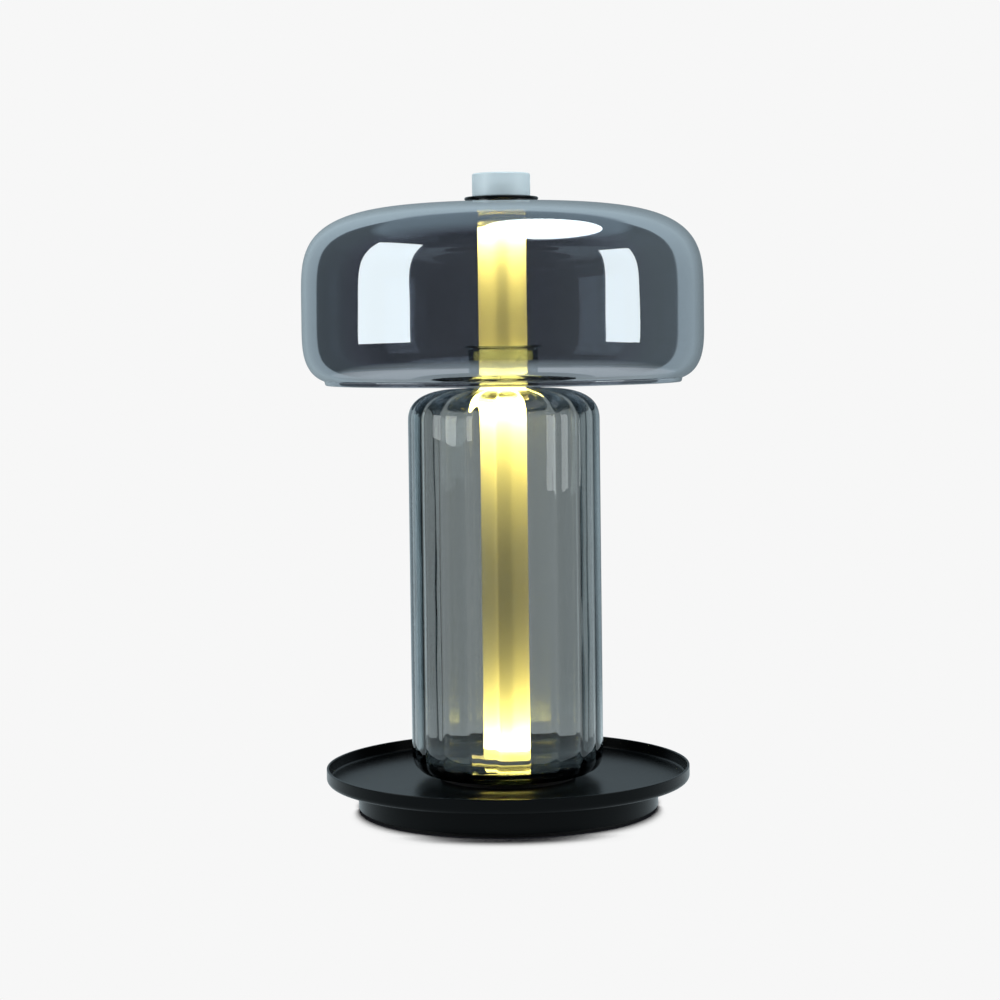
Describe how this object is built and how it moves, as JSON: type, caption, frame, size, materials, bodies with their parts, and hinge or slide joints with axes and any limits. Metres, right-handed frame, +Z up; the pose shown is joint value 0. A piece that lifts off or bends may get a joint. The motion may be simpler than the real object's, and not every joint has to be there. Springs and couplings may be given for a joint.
{
  "type": "table lamp",
  "caption": "Table lamp with a smoked glass shade over a ribbed glass body, a glowing frosted tube inside both, and a black dished metal base.",
  "frame": {"origin": "on the floor, on the lamp's axis, at the underside of the foot ring", "axes": "+Z up along the lamp's axis; the cable inlet faces +Y, and the side that the picture shows faces -Y"},
  "size_m": [0.249, 0.249, 0.3945],
  "materials": {
    "black_rubber": "matt",
    "dark_steel": "matt powder coat",
    "zinc_steel": "bright zinc",
    "black_paint": "satin black paint",
    "iron": "bare cast iron",
    "driver_plastic": "matt",
    "wire_jacket": "satin",
    "ribbed_glass": "smoked blown glass with soft ribs",
    "clear_silicone": "translucent",
    "turned_aluminium": "turned",
    "board_white": "white solder mask",
    "frosted_acrylic": "frosted, lit from inside",
    "mirrored_glass": "smoked blown glass with a half-mirror coat",
    "brass": "turned",
    "cap_glass": "frosted solid glass"
  },
  "bodies": {
    "root": {"foot_ring": "black_rubber", "base_plate": "dark_steel", "plate_screws": "zinc_steel", "plinth_shell": "black_paint", "cable_grommet": "black_rubber", "ballast_ring": "iron", "led_driver": "driver_plastic", "wiring": "wire_jacket", "stem_nut": "zinc_steel", "stem_washer": "zinc_steel", "threaded_stem": "zinc_steel", "tray": "black_paint", "body_pad": "black_rubber", "body_glass": "ribbed_glass", "body_seal": "clear_silicone", "lower_holder": "turned_aluminium", "lower_led_board": "board_white", "frosted_tube": "frosted_acrylic", "neck_ring": "clear_silicone", "middle_holder": "turned_aluminium", "middle_led_board": "board_white", "upper_holder": "turned_aluminium", "upper_led_board": "board_white", "upper_nut": "zinc_steel", "shade_seal": "clear_silicone"},
    "shade": {"shade_glass": "mirrored_glass", "shade_pad": "clear_silicone"},
    "clamp_ring": {"clamp_ring": "black_paint"},
    "finial": {"cap_bushing": "brass", "frosted_cap": "cap_glass"}
  },
  "joints": [
    {"name": "shade_lift", "type": "slide", "parent": "root", "child": "shade", "axis": [0, 0, 1], "range_m": [0, 0.125]},
    {"name": "ring_rise", "type": "slide", "parent": "shade", "child": "clamp_ring", "axis": [0, 0, 1], "range_m": [0, 0.009]},
    {"name": "finial_turn", "type": "hinge", "parent": "clamp_ring", "child": "finial", "pos_m": [0, 0, 0.38], "axis": [0, 0, 1], "range_deg": [0, 3240]}
  ],
  "couplings": [
    {"joint": "ring_rise", "follows": "finial_turn", "m_per_rad": 0.00015915}
  ]
}
